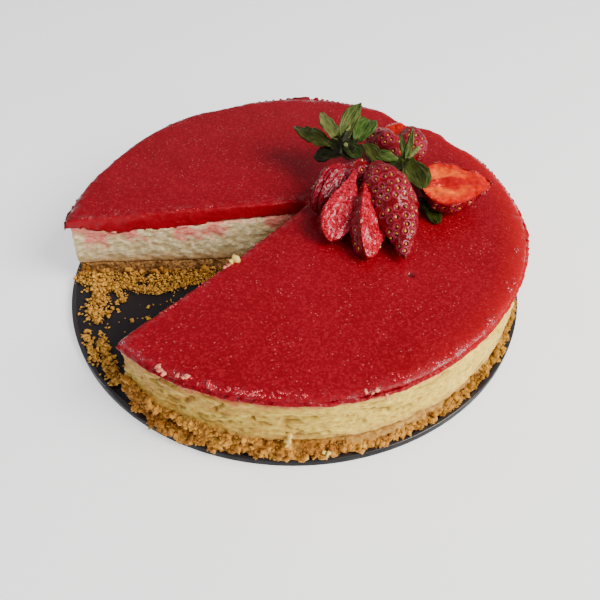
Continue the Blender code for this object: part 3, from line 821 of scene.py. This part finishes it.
def dress_slice(piece, cut, length, seeds):
    """Paints flesh, ripeness and seeds on an upright slice, and gives it wrinkles and dimples."""
    rows, normals = points_of(piece), normals_of(piece)
    back, front = (edge * MM for edge in cut["between"])
    flesh = np.maximum((rows[:, 1] > front - 0.3 * MM) * (normals[:, 1] > 0.7),
                       (rows[:, 1] < back + 0.3 * MM) * (normals[:, 1] < -0.7)).astype(float)
    share = np.clip(-rows[:, 2] / length, 0.001, 0.999)
    spread = girth(share, cut) * MM / 2
    level = np.clip(rows[:, 1] / (spread * cut["depth"] + 1e-9), -0.999, 0.999)
    half = spread * cut["width"] * np.sqrt(1 - level ** 2) + 1e-9
    from_core = 1 - np.clip(1 - np.abs(rows[:, 0]) / half, 0, 1)
    tree = kdtree.KDTree(max(1, len(seeds)))
    for number, seed in enumerate(seeds):
        tree.insert(seed, number)
    tree.balance()
    away = np.array([tree.find(Vector(row))[2] or 1.0 for row in rows]) / MM
    dimple = np.exp(-((away / DIMPLE_WIDTH) ** 2)) - 0.35 * np.exp(-(((away - 1.6) / 0.7) ** 2))
    wrinkle = 0.45 * lumps(rows, (1.5, 3.0, 4.0), 3) + 0.30 * lumps(rows, (0.9, 2.0, 2.0), 4)
    relief = (1 - flesh) * (-DIMPLE_DEPTH * dimple + 0.2 * lumps(rows, 5)) + flesh * wrinkle
    relief += 1.1 * lumps(rows, 8, 10) + 0.5 * lumps(rows, 3.6, 11)
    put_points(piece, rows + normals * relief[:, None] * MM)
    paint(piece, flesh=flesh, ripe=cut["ripe"], seed_near=np.clip(away / 3, 0, 1), glare=cut["glare"])
    chart = np.stack((np.sign(rows[:, 0]) * from_core, share), 1)[
        read(piece.data.loops, "vertex_index", kind=np.int32)]
    piece.data.uv_layers.new(name="chart").data.foreach_set("uv", chart.astype(np.float32).ravel())


def sow(name, seeds, piece):
    """One mesh of small drops, each pressed into the skin and pointing to the tip."""
    form = bmesh.new()
    shape = Matrix.Diagonal((SEED_WIDTH * MM / 2, SEED_LENGTH * MM / 2, SEED_HEIGHT * MM / 2, 1))
    for seed in seeds:
        _, spot, normal, _ = piece.closest_point_on_mesh(seed)
        along = (Vector((0, 0, 1)) - normal * normal.z).normalized()
        turn = Matrix((along.cross(normal), along, normal)).transposed().to_4x4()
        place = Matrix.Translation(spot + normal * SEED_LIFT * MM) @ turn @ shape
        bmesh.ops.create_uvsphere(form, u_segments=8, v_segments=5, radius=1, matrix=place)
    mesh = bpy.data.meshes.new(name)
    form.to_mesh(mesh)
    form.free()
    return link_mesh(name, mesh)


def lay_down(piece, cut, length):
    """Bows an upright piece, lays it on the cake and presses its underside flat."""
    rows = points_of(piece)
    share = -rows[:, 2] / length
    bow = 4 * MM * share * (1 - share)
    rows[:, 0] += cut["sway"] * bow
    rows[:, 1] += cut["bend"] * bow
    laid = np.array(laying(cut))
    rows = rows @ laid[:3, :3].T + laid[:3, 3]
    low = rows[:, 2] < REST_HEIGHT
    rows[low, 2] = REST_HEIGHT - 0.05 * (REST_HEIGHT - rows[low, 2])
    put_points(piece, rows)


def cut_strawberry(name, cut, node, draw):
    cut = {**USUAL_SLICE, **cut}
    length = (point(*cut["tip"]) - point(*cut["stem"])).length
    piece = upright_slice(name, cut, length)
    places = seed_places(cut, length, draw)
    dress_slice(piece, cut, length, places)
    drops = sow(name + "_seeds", places, piece)
    for made in (piece, drops):
        lay_down(made, cut, length)
    settle(piece, node, berry_look)
    settle(drops, node, seed_look)


# %% [markdown]
# ## The strawberry's finish
# The skin is wet and deep red. The swollen rings round the dimples are painted lighter and lilac, a
# painted reflection of the sky, and the dimples are painted darker, as painted shade. Cut flesh is
# mottled, with fine rays from the core out to the skin and a redder rim. Where the fruit is less
# ripe it is orange, with a bright band round a red core. On the two curls the flesh is painted
# darker, as painted shade.

# %% Berry and seed materials
look = berry_look = Look("strawberry", Roughness=0.18, Specular_IOR_Level=0.16, Coat_Roughness=0.16)
near, ripe, shine = look.painted("seed_near"), look.painted("ripe"), look.painted("glare")
# ring: the swollen rings round the dimples, painted lighter and lilac as a painted reflection of the sky.
ring = look.times(look.ramp(near, 0.36, 0.52), look.ramp(near, 0.74, 0.56), 0.5)
skin = look.coats(
    look.mix(look.patches(6, 0.3, 0.7), (0.11, 0.0, 0.002), (0.22, 0.001, 0.005)),
    (ring, (0.36, 0.030, 0.070)),
    # the dimples, darkened as painted shade
    (look.ramp(near, 0.36, 0.16), (0.06, 0.0, 0.001)))

chart = look.chart("chart")
from_core, to_tip = look.math("ABSOLUTE", look.along("X", chart)), look.along("Y", chart)
rays = look.noise(WHOLE_MAP, 4, (2.0, 15.0, 1.0), chart, rough=0.5)
mottle = look.noise(1.0)
red_flesh = look.coats(
    look.mix(look.ramp(mottle, 0.36, 0.52), (0.17, 0.0, 0.003), (0.37, 0.001, 0.010)),
    (look.ramp(mottle, 0.52, 0.68), (0.70, 0.038, 0.090)),
    (look.ramp(rays, 0.50, 0.70, 0, 0.45), (0.64, 0.028, 0.050)))
# dark_flesh: darker flesh, used on the two curls as painted shade.
dark_flesh = look.mix(look.ramp(mottle, 0.38, 0.66), (0.07, 0.0, 0.002), (0.24, 0.005, 0.025))

wandering = look.math("ADD", from_core, look.patches(7, 0.3, 0.7, -0.22, 0.22))
band = look.times(look.ramp(wandering, 0.16, 0.34), look.ramp(wandering, 0.80, 0.46),
                  look.ramp(to_tip, 0.72, 0.40), 0.95)
core = look.times(look.ramp(wandering, 0.20, 0.06), look.ramp(to_tip, 0.95, 0.5))
bubbles = look.times(look.patches(1.4, 0.56, 0.66, detail=2), look.ramp(to_tip, 0.30, 0.12))
orange_flesh = look.coats(
    look.mix(look.ramp(rays, 0.40, 0.66), (0.47, 0.001, 0.0), (0.68, 0.014, 0.0)),
    (band, (0.98, 0.115, 0.003)),
    (core, (0.40, 0.001, 0.004)),
    (bubbles, (0.84, 0.13, 0.06)))

flesh = look.coats(
    red_flesh,
    (look.ramp(ripe, 0, 1, 0, 0.9), dark_flesh),
    (look.ramp(ripe, 0, -1), orange_flesh),
    (look.ramp(from_core, 0.86, 0.97), (0.20, 0.001, 0.005)))
look.into("Base Color", look.mix(look.painted("flesh"), skin, flesh))
wet_lines = look.ramp(look.math("ABSOLUTE", look.patches(1.7, 0, 1, -1, 1)), 0.07, 0.02)
look.into("Coat Weight", look.times(wet_lines, look.ramp(ripe, -1, 0, 0.1, 1), shine))
look.into("Roughness", look.ramp(shine, 0, 0.5, 0.5, 0.18))
look.into("Normal", look.bump(look.noise(0.7), 0.10, 0.6))
look.into("Coat Normal", look.bump(look.noise(1.0), 0.30, 0.7))

seed_look = Look("seed", Roughness=0.35, Specular_IOR_Level=0.3)
seed_look.into("Base Color", seed_look.mix(
    seed_look.patches(2.5, 0.35, 0.65), (0.52, 0.19, 0.008), (0.84, 0.46, 0.045)))

# %% Lay out the strawberries
draw = random.Random(7)
for node, slot, slices in (("fan_berry", "berry_skin", FAN_SLICES),
                           ("back_berry", "berry_skin", BACK_SLICES),
                           ("half_berry", "berry_flesh", HALF_SLICES)):
    for name, cut in slices.items():
        cut_strawberry(name, cut, node, draw)

# %% [markdown]
# ## Sepals
# Each green sepal is a thin blade from the fruit's shoulder to a tip, folded a little at its middle
# and wavy at its edges. A grid is shaped to the outline, given its thickness, and its own map runs
# from root to tip, so the pale veins follow the blade. Each blade has its own paleness, and the
# blades that lie in shadow under and left of the hub are painted darker, as painted shade.

# %% Where the sepals grow
FAN_HUB = (26.0, 26.5, 65.0)
FAN_SEPALS = (      # root, tip, way the upper face looks, width, arch, bluntness, sway, paleness, greenness
    # Low paleness darkens a blade; on the blades in shadow under and left of the hub this is painted shade.
    ((19.5, 28.0, 64.0), (0.5, 49.0, 62.0), (0.1, -0.5, 0.9), 9.0, 0.02, 0.5, 1.0, 0.45, 0.2),
    ((23.5, 30.0, 66.0), (14.5, 51.5, 69.0), (0.2, -0.6, 0.8), 8.0, 0.04, 0.4, 1.5, 0.78, 0.3),
    ((25.5, 31.0, 66.5), (35.0, 53.0, 74.0), (-0.1, -0.7, 0.6), 9.0, 0.02, 0.2, 1.0, 0.60, 0.5),
    ((26.5, 31.5, 66.5), (31.5, 41.0, 70.0), (0.0, -0.7, 0.7), 3.5, 0.04, 0.1, 0.0, 0.85, 0.3),
    ((32.5, 29.5, 66.0), (39.5, 46.5, 68.0), (-0.1, -0.5, 0.8), 12.0, 0.02, 1.0, 0.0, 0.55, 1.0),
    (FAN_HUB, (30.5, 33.5, 67.0), (0.0, -0.7, 0.7), 9.0, 0.02, 0.9, 0.0, 0.10, 0.3),
    (FAN_HUB, (18.5, 30.0, 64.5), (0.0, -0.6, 0.7), 8.0, 0.02, 0.9, 0.0, 0.08, 0.2),
    (FAN_HUB, (33.5, 18.5, 63.0), (0.2, -0.5, 0.8), 9.0, 0.08, 0.7, 0.0, 0.25, 0.7),
    (FAN_HUB, (27.5, 18.0, 62.5), (0.0, -0.6, 0.7), 8.0, 0.08, 0.6, 0.0, 0.08, 0.1),
    ((35.5, 26.5, 66.0), (41.5, 14.5, 61.5), (0.2, -0.5, 0.8), 8.5, 0.06, 0.7, 1.0, 0.42, 0.15),
    ((41.5, 20.0, 64.0), (52.0, 15.5, 64.0), (0.0, -0.5, 0.8), 6.0, 0.06, 0.3, 0.0, 0.60, 0.9),
    ((24.0, 21.5, 63.5), (11.0, 30.5, 57.0), (-0.1, -0.4, 0.9), 9.5, 0.04, 0.6, 1.0, 0.10, 0.1),
)
BACK_HUB, STALK_TOP = (57.2, 20.4, 60.6), (63.6, 24.0, 66.0)
BACK_SEPALS = (
    (BACK_HUB, (60.0, 29.0, 74.5), (0.0, -1.0, 0.3), 3.2, 0.05, 0.0, 0.0, 0.65, 0.7),
    (BACK_HUB, (54.2, 29.0, 70.0), (0.0, -1.0, 0.4), 3.4, 0.05, 0.0, 0.0, 0.55, 0.8),
    (BACK_HUB, (62.5, -1.0, 58.5), (0.15, -0.3, 0.9), 14.0, 0.02, 1.0, 0.0, 0.40, 0.25),
    (BACK_HUB, (48.5, 9.5, 62.0), (-0.1, -0.2, 1.0), 9.0, 0.03, 0.7, 0.0, 0.20, 0.2),
)
FALLEN_SEPAL = ((66.5, 10.0, 44.8), (72.0, -9.8, 44.0), (0.0, 0.0, 1.0), 9.5, 0.02, 0.5, 0.0, 0.35, 0.3)
LEAF_THICKNESS, HUB_FLATNESS = 0.7, 0.6


# %% One sepal, its hub and its stalk
def sepal(name, row, fold=0.18, seed=0):
    root, tip, up, width, arch, blunt, sway, paleness, greenness = row
    root, tip, up = point(*root), point(*tip), Vector(up)
    blade = add_mesh(bpy.ops.mesh.primitive_grid_add, name, x_subdivisions=28, y_subdivisions=12, size=2)
    flat = points_of(blade)
    share, across = (flat[:, 0] + 1) / 2, flat[:, 1]
    outward, level = np.abs(across), across * 0
    pointed = np.sin(np.pi * np.minimum(1, 0.12 + 0.88 * share ** 0.8)) ** 0.75
    rounded = np.sin(np.pi * np.minimum(1, 0.10 + 0.82 * share ** 1.5)) ** 0.6
    spread = (1 - blunt) * pointed + blunt * rounded
    length = (tip - root).length
    forward = (tip - root).normalized()
    normal = (up - forward * up.dot(forward)).normalized()
    side = normal.cross(forward)
    half = np.maximum(0.03, spread) * width / 2 * MM
    ragged = 1 + 0.12 * lumps(np.stack((share * length, level, level), 1), 2.2, seed)
    wave = 0.03 * np.sin(2.3 * np.pi * share + 2 * across + seed) * outward
    curl = 0.07 * lumps(np.stack((share * length, across * half, level), 1), 4.0, seed) * outward
    lift = arch * np.sin(np.pi * share) + wave + curl
    crease = fold * width * MM * outward * spread
    bow = 4 * sway * MM * share * (1 - share)
    put_points(blade, np.array(root) + np.outer(length * share, forward)
               + np.outer(across * half * ragged + bow, side) + np.outer(lift * length + crease, normal))
    paint(blade, paleness=paleness, greenness=greenness)
    return modify(blade, "SOLIDIFY", thickness=LEAF_THICKNESS * MM, offset=0)


def bead(name, centre, radius):
    made = add_mesh(bpy.ops.mesh.primitive_uv_sphere_add, name, segments=24, ring_count=14,
                    radius=radius * MM, location=centre)
    made.scale.z = HUB_FLATNESS
    bpy.ops.object.transform_apply(location=True, rotation=True, scale=True)
    rows = points_of(made)
    put_points(made, rows + normals_of(made) * (0.45 * lumps(rows, 1.6, 8))[:, None] * MM)
    paint(made, paleness=0.05, greenness=0)
    return made


def stalk(name, foot, top, radius):
    along = top - foot
    made = add_mesh(
        bpy.ops.mesh.primitive_cone_add, name, vertices=16, radius1=radius * MM, radius2=1.25 * radius * MM,
        depth=along.length, location=(foot + top) / 2, rotation=along.to_track_quat("Z", "Y").to_euler())
    bpy.ops.object.transform_apply(location=True, rotation=True, scale=True)
    modify(made, "BEVEL", width=0.3 * MM, segments=2)
    paint(made, paleness=0.9, greenness=0.6)
    return made


look = leaf_look = Look("sepal", Specular_IOR_Level=0.13)
blade_map = look.chart("UVMap")
across = look.math("ADD", look.along("Y", blade_map), look.patches(4, 0, 1, -0.035, 0.035))
from_rib = look.math("ABSOLUTE", look.math("SUBTRACT", across, 0.5))
veins = look.math("MAXIMUM", look.ramp(look.math("SINE", look.times(from_rib, 44.0)), 0.75, 1.0),
                  look.ramp(from_rib, 0.03, 0.01))
streaks = look.ramp(look.noise(WHOLE_MAP, 3, (2.5, 14.0, 1.0), blade_map, rough=0.5), 0.3, 0.7, -0.3, 0.28)
patch = look.math("ADD", look.patches(4, 0.3, 0.7, -0.12, 0.12, detail=4), streaks)
paleness = look.math("ADD", look.math("ADD", look.painted("paleness"), patch), look.times(veins, 0.22))
middle = look.mix(look.painted("greenness"), (0.040, 0.038, 0.003), (0.026, 0.070, 0.005))
# Low paleness gives the dark olive, which on the blades in shadow is painted shade.
look.into("Base Color", look.coats(
    (0.006, 0.005, 0.001),
    (look.ramp(paleness, 0.08, 0.55), middle),
    (look.ramp(paleness, 0.55, 1.1), (0.19, 0.20, 0.06))))
look.into("Normal", look.bump(veins, 0.25, 0.6))


# %% Grow the sepals
def grow(name, hub, hub_radius, sepals, stem, node):
    """Joins a hub, a stalk and its sepals, which keep their maps and paint."""
    whole = bead(name, point(*hub), hub_radius)
    parts = [stem] + [sepal(f"{name}_{number}", row, seed=number) for number, row in enumerate(sepals)]
    pick(whole)
    for part in parts:
        part.select_set(True)
    bpy.ops.object.join()
    settle(whole, node, leaf_look)


grow("fan_sepals", FAN_HUB, 3.6, FAN_SEPALS,
     stalk("fan_stalk", point(26.5, 25.0, 65.5), point(26.0, 23.5, 68.0), 0.9), "fan_calyx")
grow("back_sepals", BACK_HUB, 2.6, BACK_SEPALS,
     stalk("back_stalk", point(*BACK_HUB), point(*STALK_TOP), 1.1), "back_calyx")
settle(sepal("fallen_sepal", FALLEN_SEPAL, fold=0.05, seed=20), "low_leaf", leaf_look)

# %% [markdown]
# ## Crumbs and loose bits
# Where a slice came out, its crust left crumbs on the tin: one thick golden patch, a fringe along the
# foot of the cut and a few strays. More crumbs cover the crust itself. Pale curds were smeared onto
# the gel's edge, and tiny wet beads glint along it. Each kind is modelled once or a few times with
# bpy.ops, then copied, turned and sized by arrays into one mesh for each kind. A row of a table or
# list gives one copy: its place and its size, in millimetres.


# %% A few crumbs to copy
def model_crumb(name, seed, rough):
    """A lump one unit wide, as its points and its triangles: an icosphere pushed in and out."""
    made = add_mesh(bpy.ops.mesh.primitive_ico_sphere_add, name, subdivisions=2, radius=0.5)
    rows = points_of(made)
    push = 1 + rough * np.array([noise.noise(Vector(row * 2.6) + Vector((seed, 0, 0))) for row in rows])
    put_points(made, rows * push[:, None])
    modify(made, "DECIMATE", ratio=0.5)
    shape = points_of(made), read(made.data.loops, "vertex_index", kind=np.int32).reshape(-1, 3)
    bpy.data.objects.remove(made)
    return shape


CRUMB_SHAPES = [model_crumb(f"crumb_{seed}", seed, 0.85) for seed in range(4)]
DROP_SHAPES = [model_crumb("drop", 9, 0.15)]


def scatter(name, shapes, rows, flat, look):
    """One settled mesh of many copies, each lying at its place, with a turn that draw gives it."""
    points, corners, start = [], [], 0
    for x, y, z, size in rows:
        shape, faces = shapes[draw.randrange(len(shapes))]
        turn = Matrix.Rotation(draw.uniform(0, 2 * math.pi), 3, "Z")
        turn = turn @ Matrix.Rotation(draw.uniform(0, math.pi), 3, (draw.random(), draw.random(), 0.2))
        stretch = np.array((draw.uniform(0.8, 1.5), draw.uniform(0.6, 1.0), draw.uniform(0.6, 1.0)))
        laid = (shape * stretch) @ np.array(turn).T * size * MM
        laid[:, 2] *= flat
        points.append(laid + np.array((x, y, z)) * MM)
        corners.append(faces + start)
        start += len(shape)
    mesh = bpy.data.meshes.new(name)
    mesh.from_pydata(np.concatenate(points).tolist(), [], np.concatenate(corners).tolist())
    settle(link_mesh(name, mesh), None, look)


def near_line(line, draw, spread):
    """A random place near a line of points, as x and y."""
    part = draw.uniform(0, len(line) - 1.001)
    (x0, y0), (x1, y1) = line[int(part)], line[int(part) + 1]
    share = part % 1
    return (x0 + (x1 - x0) * share + draw.gauss(0, spread), y0 + (y1 - y0) * share + draw.gauss(0, spread))


# %% Crumbs on the tin
STRAYS = ((-74.5, -28.9), (-76.1, -37.9), (-84.3, -39.5), (-66.1, -24.8), (-90.4, -32.7), (-94, -43),
          (-97.7, -47.1), (-100.2, -51.7), (-97.1, -52.4), (-86.2, -67.5), (-112, -17), (-111, -30))
TRAILS = (      # a line of points, crumbs, spread, smallest, largest, height of the pile
    (((-108, -9), (-105, -16), (-103, -24), (-102, -33), (-101, -38)), 560, 2.6, 0.6, 1.9, 2.0),
    (((-98, -14), (-92, -20), (-90, -27)), 90, 1.3, 0.7, 2.0, 1.4),
    (((-119, -8.5), (-108, -12), (-97, -13.5), (-84, -15.5), (-72, -16.5), (-60, -13), (-48, -8.5)),
     820, 1.5, 0.5, 1.5, 1.8),
    (((-115, -5), (-104, -7.5), (-88, -9.5), (-72, -10.5), (-58, -9), (-44, -5)), 1100, 2.1, 0.5, 1.6, 3.2),
    (((-78, -18), (-71, -19), (-63, -16)), 80, 0.9, 0.7, 1.9, 2.0),
    (((-96, -52), (-93, -60), (-89, -67), (-86, -73), (-82, -79)), 260, 1.6, 0.8, 2.2, 3.5),
    (((-104, -49), (-100, -58), (-96, -66)), 110, 1.3, 0.7, 2.0, 1.5),
)
STRAY_GROUP, DUST_COUNT = 3, 60
draw = random.Random(11)
fallen = []


def drop_crumb(x, y, size, lift=0.0):
    fallen.append((x, y, TIN_FLOOR_TOP + 0.3 * size + lift, size))


for line, count, spread, low, high, pile in TRAILS:
    for number in range(count):
        x, y = near_line(line, draw, spread)
        size = draw.uniform(low, high) * (1.5 if number % 8 == 0 else 0.85)
        if math.hypot(x, y) < TIN_RADIUS - 0.5:
            drop_crumb(x, y, size, pile * draw.random() ** 1.5)
for x, y in STRAYS:
    for _ in range(STRAY_GROUP):
        size = draw.uniform(0.7, 2.3)
        drop_crumb(x + draw.gauss(0, 1.0), y + draw.gauss(0, 1.0), size)
for _ in range(DUST_COUNT):
    turn, reach = draw.uniform(FAR_CUT, NEAR_CUT), draw.uniform(60, 114)
    drop_crumb(reach * math.cos(turn), reach * math.sin(turn), draw.uniform(0.4, 0.9))
look = Look("golden_crumb", Roughness=0.8, Specular_IOR_Level=0.2)
look.into("Base Color", look.mix(look.patches(1.5, 0.32, 0.68), (0.32, 0.120, 0.010), (0.88, 0.48, 0.085)))
scatter("loose_crumbs", CRUMB_SHAPES, fallen, 0.75, look)

# %% Crumbs that cover the crust
COVER_COUNT, TORN_COUNT, CLIMBING_COUNT = 2900, 420, 620


def painted_on(piece, name):
    return read(piece.data.attributes[name].data, "value")


def spots_on(piece, share, count, seed):
    """Random points of a mesh, in millimetres, chosen more often where share is high."""
    rows = points_of(piece) + normals_of(piece) * 0.25 * MM
    chosen = np.random.default_rng(seed).choice(len(rows), count, replace=False, p=share / share.sum())
    return (rows[chosen] / MM).tolist()


rows, normals = points_of(crust), normals_of(crust)
outside = on_side(rows, normals) * (radius_of(rows) > SIDE_RADIUS) * (1 - painted_on(crust, "curd"))
torn = painted_on(crust, "cut") * on_side(rows, normals) * (rows[:, 2] < 7.5 * MM)
spots = (spots_on(crust, outside + 0.01 * torn, COVER_COUNT, 1) + spots_on(crust, torn, TORN_COUNT, 2)
         + spots_on(cheese, painted_on(cheese, "crumbs"), CLIMBING_COUNT, 3))
cover = [(*spot, 0.75 + 3.6 * draw.random() ** 3.2) for spot in spots]
look = Look("baked_crumb", Roughness=0.8, Specular_IOR_Level=0.12)
look.into("Base Color", crumb_colours(look))
scatter("crust_crumbs", CRUMB_SHAPES, cover, 1.0, look)

# %% Pale curds on the gel's edge and on the side
CURDS = ((-54.8, -98.4, 41.9, 2.75), (-53.8, -100.3, 41.9, 3.25), (-52.4, -101.8, 41.9, 2.75),
         (-46.6, -102.8, 42.0, 2.5), (-42.6, -103.6, 41.2, 2.75), (-44.2, -103.9, 42.2, 1.75),
         (29.1, -110.8, 41.6, 2.125), (33.8, -110.1, 42.2, 3.0), (32.0, -111.0, 41.9, 2.25),
         (37.0, -112.2, 40.3, 2.375), (-31.0, -38.2, 42.3, 3.25), (-32.4, -39.8, 42.1, 2.25))
CHEESE_BITS = ((-2.1, -116.8, 16.0, 3.0), (-1.4, -116.6, 19.0, 2.4), (-2.6, -117.4, 13.4, 2.2),
               (15.0, -118.6, 8.5, 2.8), (13.0, -118.4, 9.0, 1.8), (-28.0, -35.2, 42.9, 4.6),
               (-29.6, -36.4, 42.6, 3.4))


def laid_on(piece, rows):
    """The same rows, each moved to the nearest point of a piece's surface."""
    return [(*(piece.closest_point_on_mesh(point(x, y, z))[1] / MM), size) for x, y, z, size in rows]


look = Look("smeared_curd", Roughness=0.4, Specular_IOR_Level=0.3)
look.into("Base Color", look.mix(look.patches(2.0, 0.3, 0.7), (0.66, 0.08, 0.055), (0.84, 0.34, 0.20)))
scatter("smeared_curds", CRUMB_SHAPES, laid_on(gel, CURDS), 0.6, look)
scatter("cheese_bits", CRUMB_SHAPES, CHEESE_BITS, 1.0,
        Look("pale_curd", Base_Color=(0.78, 0.53, 0.13, 1.0)))

# %% Wet drops on the gel
EDGE_RADIUS = 114.5
RIM_DROPS = (       # first and last direction in degrees, drops, how far in, smallest, largest
    (-31, -24, 7, 1.5, 1.0, 2.6), (-44, -39, 6, 1.2, 1.0, 2.4), (-16, -14, 3, 3.0, 1.4, 2.8),
    (-70, -46, 22, 0.8, 0.7, 1.9), (-108, -86, 80, 0.4, 0.6, 1.9), (-112, -106, 6, 1.0, 0.8, 1.8))
CUT_DROPS = ((NEAR_CUT, 26, 1), (FAR_CUT, 12, -1))       # the cut, drops, which side the gel is on
drops = []
for first, last, count, inward, low, high in RIM_DROPS:
    for _ in range(count):
        turn = math.radians(draw.uniform(first, last))
        reach = EDGE_RADIUS - inward - abs(draw.gauss(0, 1.6))
        drops.append((reach * math.cos(turn), reach * math.sin(turn), 42.25, draw.uniform(low, high)))
for direction, count, gel_side in CUT_DROPS:
    way, left = ways_of(direction)
    for _ in range(count):
        reach = draw.uniform(8, 122)
        x, y = SLICE_POINT / MM + way * reach + left * gel_side * (1.2 + abs(draw.gauss(0, 0.6)))
        if math.hypot(x, y) < EDGE_RADIUS - 1:
            drops.append((x, y, 42.2, draw.uniform(0.7, 1.6)))
# Their base is lighter than the gel's, a painted glint, on top of their real gloss.
look = Look("wet_drop", Roughness=0.2, Specular_IOR_Level=1.0, Base_Color=(0.46, 0.006, 0.016, 1.0))
scatter("wet_drops", DROP_SHAPES, laid_on(gel, drops), 0.35, look)
